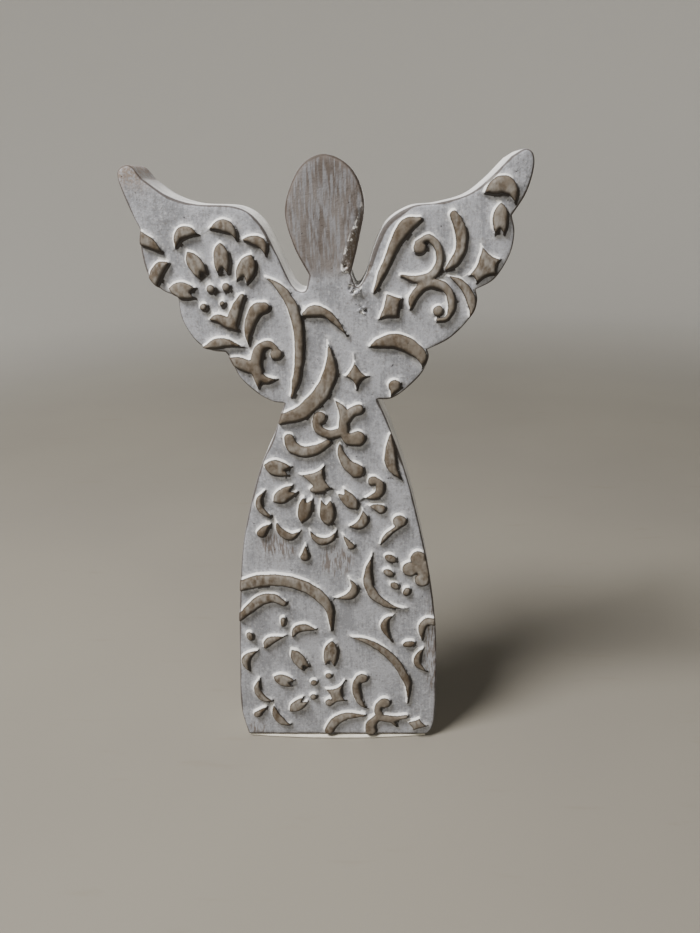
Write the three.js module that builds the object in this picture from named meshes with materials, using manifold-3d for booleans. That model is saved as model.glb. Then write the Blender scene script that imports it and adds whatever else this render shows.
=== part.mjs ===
// A free-standing angel figurine: a flat slab cast in one piece of resin, with a damask
// pattern standing proud of its front face, on a thin foam pad glued under the gown.
// Millimetres, +Z up, the decorated face towards -Y. The origin is the middle of the
// footprint, on the surface that the figurine stands on.
import * as THREE from "three";
import { mergeVertices } from "three/addons/utils/BufferGeometryUtils.js";
import Module from "manifold-3d";

const wasm = await Module();
wasm.setup();

// ---- driving dimensions ----
const SLAB_DEPTH = 16; // from the ground of the pattern to the back
const RELIEF = 1.5; // how far the pattern stands proud of the ground
const ROOT = 1; // how deep the pattern's solids run into the slab, so that they join
const PAD_THICKNESS = 0.9;
const GLUE_GAP = 0.3; // between the pad and the casting
const PAD_INSET = 0.7; // how far the pad's back, ends and front corners stay inside the slab
const PAD_BOW = 1.7; // how far the middle of the pad's front edge bows forward
const PAD_CORNER = 2;

// The figurine's depth is centred on the origin.
const BACK_Y = (SLAB_DEPTH + RELIEF) / 2;
const GROUND_Y = BACK_Y - SLAB_DEPTH;
const CREST_Y = GROUND_Y - RELIEF;
const HEM_Z = PAD_THICKNESS + GLUE_GAP;

// Points per span of a curve.
const OUTLINE_STEPS = 4;
const BAND_STEPS = 3;
const CAP_STEPS = 3;
const ROUND_STEPS = 12;
const SAME_POINT = 0.02; // points nearer than this are one point

// ---- the figure's outline ----
// Corners of the outline, as [x, z]: where two of its curves meet.
const HEM_RIGHT = [31.6, HEM_Z];
const HEM_LEFT = [-34.8, HEM_Z];
const WAIST_RIGHT = [14.5, 129];
const WAIST_LEFT = [-14.6, 128.2];
const LOW_NOTCH_RIGHT = [29.8, 144.4];
const LOW_NOTCH_LEFT = [-31.9, 144.6];
const MID_NOTCH_RIGHT = [43.8, 162];
const MID_NOTCH_LEFT = [-44.8, 161.6];
const HIGH_NOTCH_RIGHT = [53.3, 182.5];
const HIGH_NOTCH_LEFT = [-53.7, 180.4];
const NECK_RIGHT = [7, 167.2];
const NECK_LEFT = [-5.3, 167];

// Each curve runs smoothly through its points, anticlockwise round the front face.
const OUTLINE_CURVES = {
  gownRight: [HEM_RIGHT, [33.9, 6.5], [34.5, 24], [34, 46], [31.7, 66.6], [27.8, 86.5],
    [23.4, 104.4], [17.8, 121], WAIST_RIGHT],
  lowLobeRight: [WAIST_RIGHT, [18.7, 129.2], [23.1, 132], [28, 136.9], [30.2, 141.8], LOW_NOTCH_RIGHT],
  midLobeRight: [LOW_NOTCH_RIGHT, [36.6, 147.8], [42, 153.3], [44.3, 158.3], MID_NOTCH_RIGHT],
  highLobeRight: [MID_NOTCH_RIGHT, [49.2, 165], [53.2, 171.6], [54.3, 177.8], HIGH_NOTCH_RIGHT],
  tipRight: [HIGH_NOTCH_RIGHT, [56.9, 188.2], [58.7, 194.4], [58.4, 198.6], [56, 200], [52.4, 198.2]],
  wingTopRight: [[52.4, 198.2], [46.6, 192.6], [40.7, 188.5], [32.2, 186.4], [24.6, 185.6],
    [17.8, 181.6], [14.2, 175.2], [11.4, 166.8], [8.8, 163.5], NECK_RIGHT],
  head: [NECK_RIGHT, [9.4, 176], [11.3, 187], [7.9, 196], [0.4, 200], [-6.8, 196.6],
    [-11.5, 186], [-9.6, 175.8], NECK_LEFT],
  wingTopLeft: [NECK_LEFT, [-6.8, 162.5], [-10.4, 164.2], [-14.6, 173.4], [-19, 182], [-25.3, 186.5],
    [-37.5, 187.6], [-45, 190], [-51.6, 194.6]],
  tipLeft: [[-51.6, 194.6], [-54.8, 198.3], [-57.8, 197.6], [-58.7, 194.8], [-56.6, 187.4], HIGH_NOTCH_LEFT],
  highLobeLeft: [HIGH_NOTCH_LEFT, [-54.3, 175.4], [-53.1, 168.2], [-49.5, 163.7], MID_NOTCH_LEFT],
  midLobeLeft: [MID_NOTCH_LEFT, [-44.3, 155], [-40.8, 148.4], [-36.4, 145.3], LOW_NOTCH_LEFT],
  lowLobeLeft: [LOW_NOTCH_LEFT, [-30.4, 142.3], [-28, 136.7], [-22.9, 131.5], [-18.2, 128.8], WAIST_LEFT],
  gownLeft: [WAIST_LEFT, [-18.6, 117.4], [-23.2, 107.6], [-27.8, 93.4], [-31.6, 77], [-34.2, 55],
    [-35.6, 35], [-36.7, 14], HEM_LEFT],
};

function outlinePoints() {
  const points = [];
  for (const curve of Object.values(OUTLINE_CURVES)) {
    const spline = new THREE.SplineCurve(curve.map(([x, z]) => new THREE.Vector2(x, z)));
    points.push(...spline.getPoints((curve.length - 1) * OUTLINE_STEPS).slice(0, -1));
  }
  return points;
}

// ---- the shapes that the pattern is drawn with ----
// A band follows a curve through its points, each [x, z, width]. A width of 0 is a pointed
// end, and any other end is round.
function band(...points) {
  const through = points.map((point) => new THREE.Vector3(...point));
  const curve = new THREE.CatmullRomCurve3(through, false, "catmullrom", 0.5);
  const steps = (points.length - 1) * BAND_STEPS;
  const left = [];
  const right = [];
  for (let i = 0; i <= steps; i++) {
    const at = curve.getPoint(i / steps);
    const along = curve.getTangent(i / steps);
    const side = new THREE.Vector2(-along.y, along.x).normalize().multiplyScalar(Math.max(at.z, 0) / 2);
    const centre = new THREE.Vector2(at.x, at.y);
    left.push(centre.clone().add(side));
    right.unshift(centre.clone().sub(side));
  }
  const loop = [...left, ...cap(left.at(-1), right[0]), ...right, ...cap(right.at(-1), left[0])];
  return loop.filter((point, i) => point.distanceTo(loop.at(i - 1)) > SAME_POINT);
}

// The points of a half circle from one side of a band's end to the other.
function cap(from, to) {
  const centre = from.clone().add(to).multiplyScalar(0.5);
  const points = [];
  if (from.distanceTo(to) < 0.5) return points;
  for (let i = 1; i < CAP_STEPS; i++) {
    points.push(from.clone().rotateAround(centre, (-Math.PI * i) / CAP_STEPS));
  }
  return points;
}

// A petal has a pointed tip, a belly, and a base split into two feet by a notch.
const PETAL_HALF = [[0.18, 0.34], [0.4, 0.5], [0.7, 0.48], [1, 0.3]];
const PETAL_NOTCH = 0.8;

function petal(tipX, tipZ, baseX, baseZ, width) {
  const tip = new THREE.Vector2(tipX, tipZ);
  const axis = new THREE.Vector2(baseX, baseZ).sub(tip);
  const side = new THREE.Vector2(-axis.y, axis.x).normalize().multiplyScalar(width);
  const place = (along, across) => tip.clone().addScaledVector(axis, along).addScaledVector(side, across);
  return [
    tip,
    ...PETAL_HALF.map(([along, across]) => place(along, -across)),
    place(PETAL_NOTCH, 0),
    ...PETAL_HALF.map(([along, across]) => place(along, across)).reverse(),
  ];
}

// A star has pointed corners, given anticlockwise, with sides that curve in by a share of their length.
function star(pinch, ...corners) {
  const points = [];
  corners.forEach(([x, z], i) => {
    const [nextX, nextZ] = corners[(i + 1) % corners.length];
    const middle = new THREE.Vector2((x + nextX) / 2, (z + nextZ) / 2);
    const inward = new THREE.Vector2(z - nextZ, nextX - x).multiplyScalar(pinch);
    points.push(new THREE.Vector2(x, z), middle.add(inward));
  });
  return points;
}

function oval(x, z, halfWidth, halfHeight, turn = 0) {
  const curve = new THREE.EllipseCurve(x, z, halfWidth, halfHeight, 0, 2 * Math.PI, false, turn);
  return curve.getPoints(ROUND_STEPS).slice(0, -1);
}

function dot(x, z, radius) {
  return oval(x, z, radius, radius);
}

// ---- the pattern ----
function leftWingPattern() {
  return [
    band([-47.3, 173.9, 0], [-50.4, 176.7, 3], [-53.6, 178.6, 4]), // leaf at the outer edge
    band([-46.9, 171.3, 1.6], [-49.4, 169.8, 3.8], [-51.8, 165.6, 3.6]),
    band([-43.7, 175.8, 0.6], [-42.6, 178.9, 3], [-40, 180.2, 3.4], [-36.3, 179, 0]), // over the flower
    band([-33.4, 180.9, 0.5], [-29.6, 181.6, 3.8], [-27, 180.4, 3], [-25.6, 177, 0]),
    band([-23.8, 177.6, 0.5], [-20.6, 177.4, 3.2], [-18.2, 176, 3], [-17.5, 172.5, 0]),
    petal(-47.2, 164.3, -38.8, 162.6, 5.2), // the flower's petals
    petal(-40.7, 175, -35.9, 166.9, 4.6),
    petal(-30.7, 177.4, -30.5, 167.6, 5),
    petal(-21.6, 173.8, -25.3, 165.2, 5.6),
    dot(-34.5, 163.7, 1.4), // seeds
    dot(-29.8, 164.2, 1.4),
    dot(-37.1, 158.5, 1.2),
    dot(-31.4, 159.4, 1),
    band([-35.8, 154.8, 0.5], [-33, 155.1, 3], [-29.5, 153.4, 3.4], [-27.2, 151.3, 0.8]), // under it
    band([-25.4, 161.4, 2], [-27.2, 158.4, 3.2], [-28.6, 154.8, 3.6], [-28.2, 152, 1.6]),
    band([-18.7, 158.2, 3.4], [-21.4, 157.3, 4.2], [-23.6, 153.4, 3.4], [-24.4, 149.5, 2], [-24.2, 145.7, 0]),
    band([-38.6, 146, 1.2], [-34, 147.6, 3.4], [-30.5, 147.7, 2.6], [-26, 146.3, 0]),
    dot(-16.1, 144, 2),
    band([-16.2, 145.8, 2], [-18.2, 147, 2.6], [-21, 145.9, 3.2], [-22.6, 141.5, 4],
      [-22.2, 137, 3.4], [-22.2, 133, 0]), // scroll over the waist
    band([-30.4, 142.4, 2.2], [-27, 141.3, 4.2], [-22.6, 139.5, 4]),
    band([-22.4, 137.6, 3], [-19.5, 136, 2.6], [-16.3, 136.2, 0.6]),
    band([-18.3, 167.1, 0], [-14.4, 164.2, 2.6], [-11.2, 159.8, 3.4], [-9.4, 154, 3.6], [-9, 148.5, 3.3],
      [-9.3, 142.4, 2.9], [-10.5, 135.6, 2.6], [-12, 130.8, 1.4]), // long stem beside the bodice
  ];
}

function bodicePattern() {
  return [
    band([-6.9, 156.1, 2], [-4.2, 156.9, 3.8], [-1, 156.3, 3], [2, 153.8, 2.4], [5.6, 149.3, 0.4]),
    band([-0.4, 148.2, 0], [0.4, 142.6, 2.6], [0, 138, 4.6], [-2, 133, 5], [-5.6, 128.6, 5.2],
      [-9.8, 125.3, 4.8], [-16.4, 123.2, 3.4]), // broad stem that crosses the waist
    star(0.16, [7.4, 143.8], [4.2, 136.9], [8.1, 132.2], [12.2, 136.6]),
    band([12.3, 146, 0.6], [15.6, 147, 3.4], [20, 147.5, 4.6], [24.4, 145.8, 4.8], [27.8, 142.8, 3.8],
      [28.3, 138.8, 0]),
    dot(19.7, 133.6, 2.1),
    star(0.05, [18.4, 129.6], [22.4, 132.9], [19.8, 135.6], [17.7, 133.8]),
  ];
}

function rightWingPattern() {
  return [
    band([27, 182, 1.8], [23.2, 180.4, 4.4], [20.4, 176.4, 3.6], [18.2, 171.6, 2.8], [15.9, 166.8, 2.4],
      [13.8, 162, 0.8]), // long stem beside the neck
    star(0.05, [17.2, 162], [14.8, 153.8], [21, 154.4], [22.2, 160.2]),
    dot(27.1, 174.3, 2.1), // upper scroll
    band([26.4, 175.6, 2], [29.6, 177, 2.6], [32.2, 174.6, 2.6], [33, 170.6, 2.6], [31.2, 166.8, 3],
      [26.8, 165.4, 2.6], [21.8, 166.6, 1]),
    dot(32.7, 156.1, 1.8), // lower scroll
    band([24.6, 157, 1], [25.4, 160.4, 2.8], [28.2, 163.4, 2.8], [31.8, 164.2, 3.2], [35.3, 162.2, 2.8],
      [36.7, 158, 2.6], [35.4, 154.2, 1.8], [32.8, 153.6, 1.6]),
    band([36.6, 183.2, 2.8], [37.9, 180.8, 3.6], [39, 177.5, 3.8], [38.9, 173.6, 3.2], [37.2, 170.4, 3.2],
      [35, 168.3, 1.6]),
    band([45.2, 188.9, 0.6], [47.6, 190.2, 4], [50.2, 190.9, 5], [52.6, 189.5, 4], [54.1, 185.5, 0]),
    petal(49.8, 186.4, 49.9, 177, 4.6),
    star(0.12, [44.7, 175.4], [41.4, 166.4], [43.8, 163.7], [49.5, 166.3], [50.6, 170.6]),
    band([35.6, 166.3, 0.5], [39.3, 163.9, 2.6], [41.8, 160.4, 3.2], [42.8, 157, 2.6], [42, 153.6, 0]),
  ];
}

function upperGownPattern() {
  return [
    dot(-3.7, 123.7, 2.3), // scroll at the waist
    band([-4.8, 122.6, 3], [-3.9, 119.8, 3.2], [-0.8, 118.2, 3.2], [3, 118.8, 3.2]),
    band([1, 129.8, 0], [3.6, 126.2, 2.8], [3.8, 122, 3.2], [3.8, 118.6, 3.6]),
    band([8.5, 126.3, 3.8], [6.2, 125.2, 3.4], [4.4, 122.6, 3]),
    band([3.6, 118.5, 3.2], [5.4, 116.6, 4.2], [8.2, 116.8, 5.2]),
    band([-13.6, 117, 3.6], [-12.6, 114.2, 4.4], [-9, 112.5, 4], [-5, 113.4, 3.6], [-1.4, 115.5, 2.4]),
    band([2.3, 116.4, 0], [2.7, 112, 2.6], [4.6, 108.1, 4], [7.6, 105.8, 5.2]),
    band([18.6, 117.6, 1.4], [18.4, 112.4, 3.6], [18.7, 107.6, 3.8], [22.4, 101.9, 0]),
    star(0.14, [-11.6, 105], [-6.2, 97.8], [-0.3, 99.4], [-2.8, 108]), // the flower's heart and petals
    oval(-4.9, 99.7, 3.2, 1.6, 0.1),
    petal(-22.4, 108.4, -13.6, 105.7, 5.6),
    petal(-20.2, 95.2, -12.4, 100, 5),
    petal(-11.1, 87.4, -8.4, 97, 4.8),
    petal(-2, 86.1, -2.7, 96.2, 5.2),
    petal(7.9, 92.2, 2, 99.2, 4.8),
    band([-22.7, 99.2, 0.6], [-24.6, 96, 2.2], [-24.2, 92.8, 2.6], [-21.6, 90.2, 1.6]), // crescents round it
    band([-21.5, 87.3, 0.4], [-23.3, 85.6, 2.6], [-24.6, 84, 3.4]),
    band([-19.5, 88.8, 0], [-18.2, 84.9, 2.8], [-14.8, 82.7, 3], [-11.3, 84.9, 0]),
    band([-8.6, 85.4, 0], [-6.6, 82, 2.4], [-4, 80.9, 3], [-1.3, 82, 2.2], [0.7, 85.4, 0]),
    band([9.2, 92.9, 0], [9.6, 89, 3.2], [8, 86.7, 3.4], [4.6, 86.2, 0]),
    dot(12.8, 102.2, 1.8),
    band([13.2, 102.8, 2.4], [14.9, 101, 3.2], [14.7, 98.2, 3.2], [12.7, 96.7, 2.4], [9.8, 96.4, 0]),
    band([11.2, 93.6, 0], [13.3, 93.1, 2.4], [15.2, 92.3, 3.6]),
    band([-10, 80.2, 0], [-10.4, 75.2, 3.4]), // drops
    band([2.3, 83.6, 0], [5.1, 79, 3]),
    dot(21.3, 88, 2.4),
    band([20.9, 86, 1.8], [18.5, 84.2, 1.8], [16.4, 82, 1.8], [14.8, 79.4, 0.6]),
  ];
}

function lowerGownPattern() {
  return [
    dot(27.6, 74.3, 2.8), // clover at the right edge
    dot(25, 70.3, 2.9),
    dot(29, 66.3, 2.8),
    dot(30, 70.4, 3.6),
    oval(18.4, 74.3, 2.4, 1.6, -0.5),
    oval(17.7, 68.9, 2.2, 1.5, -0.5),
    oval(19.7, 63.9, 1.9, 1.4, -0.6),
    oval(23.8, 61.6, 1.5, 1.9, -0.3),
    band([12.2, 76.4, 0], [10.7, 69, 3], [11.2, 63, 3.6], [14.2, 58.8, 3.4], [18.4, 56, 2], [24, 54.8, 0]),
    band([4, 67.4, 0], [5.9, 63.6, 2.6], [4.4, 60.2, 3.2], [-1, 59.2, 0]),
    band([-35, 63.4, 3.6], [-28.6, 65.6, 5], [-22.2, 66.5, 4.8], [-15.6, 65.5, 4.8], [-9.9, 63.2, 4.6],
      [-5.2, 59.2, 4.4], [-2.7, 54, 3], [-2.4, 46.3, 0.8]), // broad stem across the gown
    band([-35.2, 50.8, 2.4], [-30.6, 55.2, 3.6], [-26.4, 58.6, 4.4], [-22.2, 59.4, 3.8], [-18.6, 57.4, 2.6]),
    oval(-19.1, 49.9, 1.2, 2.2, -0.1),
    oval(-31.1, 44.1, 1.4, 2.1, 0.2),
    band([-16, 44, 1], [-14.6, 46.6, 3.2], [-11.6, 47.5, 3.2], [-7.9, 46.8, 1]),
    band([-26, 39.6, 1.6], [-24.2, 42.3, 3.4], [-18.4, 44.2, 0]),
    band([-28.4, 38.4, 0], [-32, 36.3, 2.6], [-33.5, 33.4, 3], [-32.2, 29, 0]),
    petal(-16.9, 38.9, -11.6, 30, 4.8), // the flower's petals
    petal(-2.3, 42.6, -3.5, 31.4, 5.4),
    petal(-24, 27.4, -16.5, 24, 5),
    petal(-18.9, 11.8, -12.6, 17.6, 4.6),
    dot(-4, 27.6, 1.4), // seeds
    dot(-9.4, 24.6, 1.4),
    dot(-9.7, 18.5, 1.4),
    star(0.16, [-5.4, 21.9], [-4, 14], [2.4, 16.3], [1.7, 25.6]),
    dot(-4, 16, 1.7),
    band([-29, 26.6, 0.4], [-30, 22, 2.8], [-28.4, 18.2, 3], [-25.2, 16.6, 1]),
    band([-30.6, 10.9, 3.2], [-28.8, 12.6, 1.8], [-27, 14.2, 0]),
    band([-24.6, 15.8, 0], [-23.9, 11.2, 3], [-22, 7.8, 3.2], [-19, 6.2, 1]),
    dot(8, 26.4, 2.2),
    band([7, 26.8, 2.8], [5.8, 24, 3], [6, 20, 3.2], [7.2, 16.2, 2.6], [10, 12.9, 0]),
    band([-4.6, 3.6, 3.6], [-2.4, 7.4, 4], [1.8, 10.1, 3.6], [8.5, 10.4, 1.2]),
    dot(16, 15.8, 2.3), // scroll at the hem
    band([15.4, 16.4, 3], [13.9, 14.8, 3], [13.5, 12.6, 3], [14.2, 10.3, 3.2]),
    band([13.5, 9.6, 3.4], [18.4, 8.8, 3.2], [23.6, 9.8, 1.8]),
    band([13.2, 9.6, 3], [10.9, 6.4, 4], [10.8, 3.4, 4.4]),
    band([18.4, 8.4, 2.6], [20.6, 4.8, 0.4]),
    star(0.05, [24, 7.4], [26.4, 3.4], [31.8, 5.4], [28.6, 9.2]),
    band([4, 43.8, 0], [10, 41.9, 2.4], [15.8, 38.1, 3.2], [20.4, 32.7, 3.4], [23.6, 26.4, 3.2],
      [24.4, 21.6, 2], [24.2, 15.6, 0.6]),
    band([19.5, 52.6, 0], [16.7, 50.4, 2.4], [16.3, 46.8, 2.8], [19, 41.1, 0]),
    band([34.8, 49.4, 3], [30.8, 49.8, 3.2], [29, 46.8, 2.8], [29.4, 41.6, 0]),
    oval(24.6, 40.8, 2.4, 1.5, 0.2),
    band([29.8, 39.3, 0], [28, 36.4, 2.4], [27.7, 32.6, 2.8], [31.5, 28.7, 0]),
  ];
}

// ---- solids ----
// A prism over an outline on the front face, from one depth to another.
function facePrism(points, frontY, backY) {
  const geometry = new THREE.ExtrudeGeometry(new THREE.Shape(points), {
    depth: backY - frontY,
    bevelEnabled: false,
  });
  return geometry.rotateX(Math.PI / 2).translate(0, backY, 0);
}

function toSolid(geometry) {
  const plain = geometry.clone();
  plain.deleteAttribute("normal");
  plain.deleteAttribute("uv");
  const merged = mergeVertices(plain, 1e-4);
  return new wasm.Manifold(
    new wasm.Mesh({
      numProp: 3,
      vertProperties: merged.attributes.position.array,
      triVerts: new Uint32Array(merged.index.array),
    }),
  );
}

function toGeometry(solid) {
  const mesh = solid.getMesh();
  const geometry = new THREE.BufferGeometry();
  geometry.setAttribute("position", new THREE.BufferAttribute(mesh.vertProperties, 3));
  geometry.setIndex(new THREE.BufferAttribute(mesh.triVerts, 1));
  const flat = geometry.toNonIndexed();
  flat.computeVertexNormals();
  return flat;
}

// The casting: the slab, and the pattern cut off at the slab's edge.
function resinCasting() {
  const outline = outlinePoints();
  const slab = toSolid(facePrism(outline, GROUND_Y, BACK_Y));
  const margin = toSolid(facePrism(outline, CREST_Y, GROUND_Y + ROOT));
  const motifs = [
    ...leftWingPattern(),
    ...bodicePattern(),
    ...rightWingPattern(),
    ...upperGownPattern(),
    ...lowerGownPattern(),
  ];
  const pattern = motifs
    .map((points) => toSolid(facePrism(points, CREST_Y, GROUND_Y + ROOT)))
    .reduce((joined, motif) => joined.add(motif));
  return toGeometry(slab.add(pattern.intersect(margin)));
}

// The pad: a straight back and ends inside the gown's footprint, and a front edge that bows out.
function basePad() {
  const left = HEM_LEFT[0] + PAD_INSET;
  const right = HEM_RIGHT[0] - PAD_INSET;
  const back = BACK_Y - PAD_INSET;
  const front = GROUND_Y + PAD_INSET;
  const pad = new THREE.Shape();
  pad.moveTo(left, front);
  pad.quadraticCurveTo((left + right) / 2, front - 2 * PAD_BOW, right, front);
  pad.lineTo(right, back - PAD_CORNER);
  pad.quadraticCurveTo(right, back, right - PAD_CORNER, back);
  pad.lineTo(left + PAD_CORNER, back);
  pad.quadraticCurveTo(left, back, left, back - PAD_CORNER);
  pad.closePath();
  return new THREE.ExtrudeGeometry(pad, {
    depth: PAD_THICKNESS,
    bevelEnabled: false,
    curveSegments: ROUND_STEPS,
  });
}

function piece(name, geometry, finish) {
  const mesh = new THREE.Mesh(geometry, new THREE.MeshStandardMaterial(finish));
  mesh.name = name;
  return mesh;
}

const figurine = new THREE.Group();
figurine.add(
  piece("resin_casting", resinCasting(), { color: 0xc3c0bf, roughness: 0.85, metalness: 0 }),
  piece("base_pad", basePad(), { color: 0xd9d3bd, roughness: 0.95, metalness: 0 }),
);

export default figurine;
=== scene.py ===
"""Looks of the resin angel figurine: a finely modelled casting and its foam pad, on a pale floor.

The pattern is drawn with the same shapes and points as the CAD part's, in millimetres on the front face.
Depths, heights and the pad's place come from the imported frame. Everything built is in metres.
"""

import math
import random
from functools import reduce

import bpy
import numpy as np
from mathutils import Matrix, Vector, noise
from mathutils.geometry import delaunay_2d_cdt


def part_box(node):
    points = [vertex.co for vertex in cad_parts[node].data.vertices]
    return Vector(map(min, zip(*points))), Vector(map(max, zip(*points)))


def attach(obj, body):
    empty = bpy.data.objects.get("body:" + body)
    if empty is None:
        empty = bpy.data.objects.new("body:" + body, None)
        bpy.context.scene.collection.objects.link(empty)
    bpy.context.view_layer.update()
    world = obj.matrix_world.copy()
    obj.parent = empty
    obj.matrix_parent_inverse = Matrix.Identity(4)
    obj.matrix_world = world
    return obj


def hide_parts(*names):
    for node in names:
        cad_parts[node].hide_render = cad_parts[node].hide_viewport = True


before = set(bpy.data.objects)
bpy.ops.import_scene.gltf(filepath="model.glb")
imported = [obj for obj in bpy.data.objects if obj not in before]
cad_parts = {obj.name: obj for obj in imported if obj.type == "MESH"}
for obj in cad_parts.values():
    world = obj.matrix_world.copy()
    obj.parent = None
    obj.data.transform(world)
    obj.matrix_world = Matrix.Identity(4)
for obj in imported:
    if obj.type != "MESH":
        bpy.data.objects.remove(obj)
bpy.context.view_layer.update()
casting_low, casting_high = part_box("resin_casting")
pad_low, pad_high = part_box("base_pad")

MM = 0.001
SEED = 7

# ---- dimensions on the casting, in millimetres ----
RELIEF = 1.5
CREST_Y = casting_low.y / MM
GROUND_Y = CREST_Y + RELIEF
BACK_Y = casting_high.y / MM
HEM_Z = casting_low.z / MM
EDGE_ROUND = 0.9  # radius of the front edge
BACK_ROUND = 0.6
WALL_FOOT = -0.25  # where a motif's wall starts, as a distance inside its drawn edge
WALL_TOP = 0.35
WALL_HEIGHT = 0.8
DOME_WIDTH = 1.6  # from the wall's foot to the flat of the motif

# ---- mesh density, in millimetres ----
OUTLINE_SPAN_STEPS = 16  # points to each span of a curve, before it is spaced evenly
BAND_SPAN_STEPS = 6
PETAL_SPAN_STEPS = 5
STAR_SIDE_STEPS = 6
OVAL_SIDES = 24
GRID = 0.2
OUTLINE_STEP = 0.5
ROW_STEP = 0.36
RIM_STEP = 0.35
FILL_STEP = 1.1
BACK_FILL_STEP = 3.0
LATTICE_ROW = 0.866  # the fill is a triangular lattice: its row spacing, as a share of its step
LATTICE_JITTER = 0.15
RIM_ROOM = 0.9  # points are dropped where they crowd the outline or each other, by these shares
MOTIF_ROOM = 1.5
FILL_ROOM = 0.6
APART = 0.5
SAME_POINT = 1e-5
MOTIF_ROWS = (-0.27, -0.02, 0.2, 0.45, 0.85, 1.4)
RIM_ROWS = (0.14, 0.4, 0.85)
SIDE_ROWS = (0.03, 0.12, 0.3, 0.5, 0.7, 0.88, 0.97)

# ---- the figure's outline: the CAD part's corners and curves, as [x, z] ----
HEM_RIGHT = (31.6, HEM_Z)
HEM_LEFT = (-34.8, HEM_Z)
WAIST_RIGHT = (14.5, 129)
WAIST_LEFT = (-14.6, 128.2)
LOW_NOTCH_RIGHT = (29.8, 144.4)
LOW_NOTCH_LEFT = (-31.9, 144.6)
MID_NOTCH_RIGHT = (43.8, 162)
MID_NOTCH_LEFT = (-44.8, 161.6)
HIGH_NOTCH_RIGHT = (53.3, 182.5)
HIGH_NOTCH_LEFT = (-53.7, 180.4)
NECK_RIGHT = (7, 167.2)
NECK_LEFT = (-5.3, 167)

OUTLINE_CURVES = {
    "hem": [HEM_LEFT, HEM_RIGHT],
    "gown_right": [HEM_RIGHT, (33.9, 6.5), (34.5, 24), (34, 46), (31.7, 66.6), (27.8, 86.5),
                   (23.4, 104.4), (17.8, 121), WAIST_RIGHT],
    "low_lobe_right": [WAIST_RIGHT, (18.7, 129.2), (23.1, 132), (28, 136.9), (30.2, 141.8), LOW_NOTCH_RIGHT],
    "mid_lobe_right": [LOW_NOTCH_RIGHT, (36.6, 147.8), (42, 153.3), (44.3, 158.3), MID_NOTCH_RIGHT],
    "high_lobe_right": [MID_NOTCH_RIGHT, (49.2, 165), (53.2, 171.6), (54.3, 177.8), HIGH_NOTCH_RIGHT],
    "tip_right": [HIGH_NOTCH_RIGHT, (56.9, 188.2), (58.7, 194.4), (58.4, 198.6), (56, 200), (52.4, 198.2)],
    "wing_top_right": [(52.4, 198.2), (46.6, 192.6), (40.7, 188.5), (32.2, 186.4), (24.6, 185.6),
                       (17.8, 181.6), (14.2, 175.2), (11.4, 166.8), (8.8, 163.5), NECK_RIGHT],
    "head": [NECK_RIGHT, (9.4, 176), (11.3, 187), (7.9, 196), (0.4, 200), (-6.8, 196.6),
             (-11.5, 186), (-9.6, 175.8), NECK_LEFT],
    "wing_top_left": [NECK_LEFT, (-6.8, 162.5), (-10.4, 164.2), (-14.6, 173.4), (-19, 182),
                      (-25.3, 186.5), (-37.5, 187.6), (-45, 190), (-51.6, 194.6)],
    "tip_left": [(-51.6, 194.6), (-54.8, 198.3), (-57.8, 197.6), (-58.7, 194.8), (-56.6, 187.4),
                 HIGH_NOTCH_LEFT],
    "high_lobe_left": [HIGH_NOTCH_LEFT, (-54.3, 175.4), (-53.1, 168.2), (-49.5, 163.7), MID_NOTCH_LEFT],
    "mid_lobe_left": [MID_NOTCH_LEFT, (-44.3, 155), (-40.8, 148.4), (-36.4, 145.3), LOW_NOTCH_LEFT],
    "low_lobe_left": [LOW_NOTCH_LEFT, (-30.4, 142.3), (-28, 136.7), (-22.9, 131.5), (-18.2, 128.8),
                      WAIST_LEFT],
    "gown_left": [WAIST_LEFT, (-18.6, 117.4), (-23.2, 107.6), (-27.8, 93.4), (-31.6, 77), (-34.2, 55),
                  (-35.6, 35), (-36.7, 14), HEM_LEFT],
}


# ---- curves ----
def catmull_rom(points, steps):
    """Points along a smooth curve through the given ones, with steps to each span."""
    given = np.array(points, float)
    first = 2 * given[0] - given[1]
    last = 2 * given[-1] - given[-2]
    padded = np.vstack([first, given, last])
    curve = []
    for a, b, c, d in zip(padded, padded[1:], padded[2:], padded[3:]):
        for t in np.arange(steps) / steps:
            cubic = t * (3 * b - a - 3 * c + d)
            square = t * (2 * a - 5 * b + 4 * c - d + cubic)
            curve.append(b + 0.5 * t * (c - a + square))
    return np.array(curve + [given[-1]])


def resample(points, step):
    """The polyline's points again, evenly spaced by about a step; its last point is left out."""
    lengths = np.linalg.norm(np.diff(points, axis=0), axis=1)
    along = np.concatenate([[0], np.cumsum(lengths)])
    count = max(2, round(along[-1] / step))
    wanted = np.linspace(0, along[-1], count, endpoint=False)
    return np.column_stack([np.interp(wanted, along, points[:, axis]) for axis in (0, 1)])


def outline_loop(step):
    curves = [catmull_rom(curve, OUTLINE_SPAN_STEPS) for curve in OUTLINE_CURVES.values()]
    return np.vstack([resample(curve, step) for curve in curves])


def outward(loop):
    """The direction out of an anticlockwise loop at each of its points."""
    along = np.roll(loop, -1, axis=0) - np.roll(loop, 1, axis=0)
    return np.column_stack([along[:, 1], -along[:, 0]]) / np.linalg.norm(along, axis=1)[:, None]


# ---- the shapes that the pattern is drawn with ----
def band(*points):
    """A stroke through [x, z, width] points: a width of 0 is a pointed end, any other end is round."""
    return "band", catmull_rom(points, BAND_SPAN_STEPS)


PETAL_HALF = ((0, 0), (0.18, 0.34), (0.4, 0.5), (0.7, 0.48), (1, 0.3))
PETAL_NOTCH = 0.8


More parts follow.
